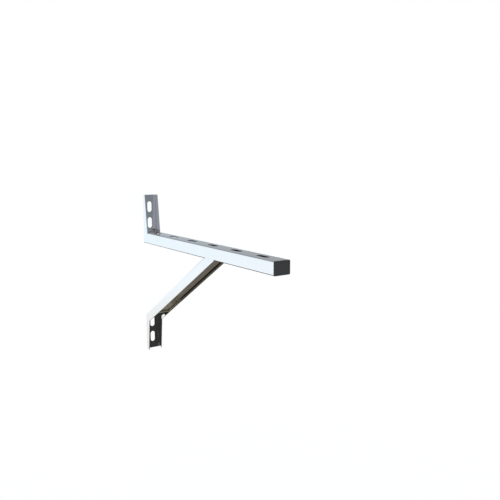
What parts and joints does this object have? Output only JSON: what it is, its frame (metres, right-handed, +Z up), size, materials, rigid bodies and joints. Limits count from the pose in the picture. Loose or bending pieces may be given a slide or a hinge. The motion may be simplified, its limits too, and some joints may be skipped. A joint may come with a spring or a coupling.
{
  "type": "wall bracket",
  "caption": "Polished steel cantilever wall bracket: slotted tube arm with a channel leg above and a folded channel brace below, for carrying a unit off a wall.",
  "frame": {"origin": "on the wall plane, in the bracket's middle plane, level with the top of the arm", "axes": "+Y into the wall, -Y along the arm, +Z up, X along the wall"},
  "size_m": [0.04, 0.615, 0.446],
  "materials": {
    "arm_steel": "polished",
    "leg_steel": "polished",
    "brace_steel": "polished",
    "weld_steel": "satin",
    "cap_plastic": "matte"
  },
  "bodies": {
    "root": {"arm": "arm_steel", "end_cap": "cap_plastic", "upper_leg": "leg_steel", "brace": "brace_steel", "weld_leg_web": "weld_steel", "weld_leg_left": "weld_steel", "weld_leg_right": "weld_steel", "weld_brace_web": "weld_steel", "weld_brace_left": "weld_steel", "weld_brace_right": "weld_steel", "flush_weld_leg_left": "arm_steel", "flush_weld_leg_right": "arm_steel", "flush_weld_brace_left": "arm_steel", "flush_weld_brace_right": "arm_steel"}
  },
  "joints": []
}
